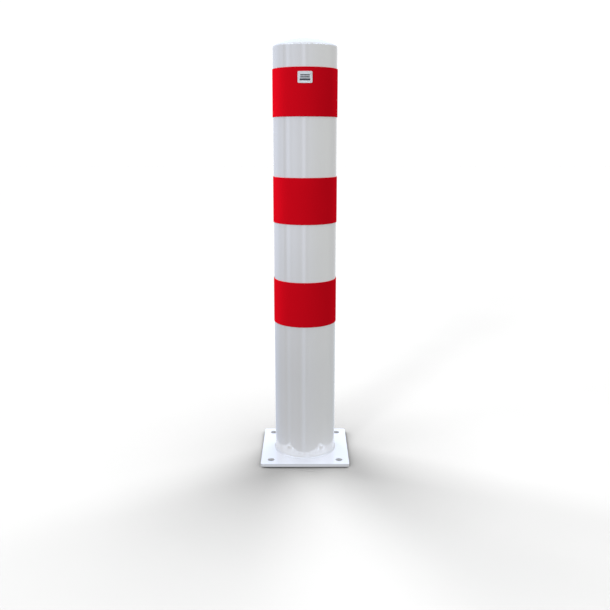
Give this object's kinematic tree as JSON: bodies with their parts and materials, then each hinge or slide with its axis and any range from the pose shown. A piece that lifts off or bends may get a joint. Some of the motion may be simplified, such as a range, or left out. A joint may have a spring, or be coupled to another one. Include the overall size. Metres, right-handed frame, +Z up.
{
  "type": "bollard post",
  "caption": "Fixed impact-protection bollard: coated round steel tube with domed cap and red reflective bands on a square anchor plate.",
  "frame": {"origin": "centre of the base plate's underside, on the ground and on the tube's axis", "axes": "+Z up along the tube; -Y to the front, where the label is; +Y to the back, where the bands' seams are; X and Y along the plate's sides"},
  "size_m": [0.22, 0.22, 1.0275],
  "materials": {
    "white_powder_coat": "gloss white powder coat on steel",
    "coated_weld": "weld metal under the same gloss white powder coat",
    "red_reflective_film": "satin red reflective film",
    "label_metal": "satin anodised, dark printed bars"
  },
  "bodies": {
    "root": {"base_plate": "white_powder_coat", "post_tube": "white_powder_coat", "dome_cap": "white_powder_coat", "base_weld": "coated_weld", "cap_weld": "coated_weld", "red_band_top": "red_reflective_film", "red_band_middle": "red_reflective_film", "red_band_bottom": "red_reflective_film", "label_plate": "label_metal"}
  },
  "joints": []
}
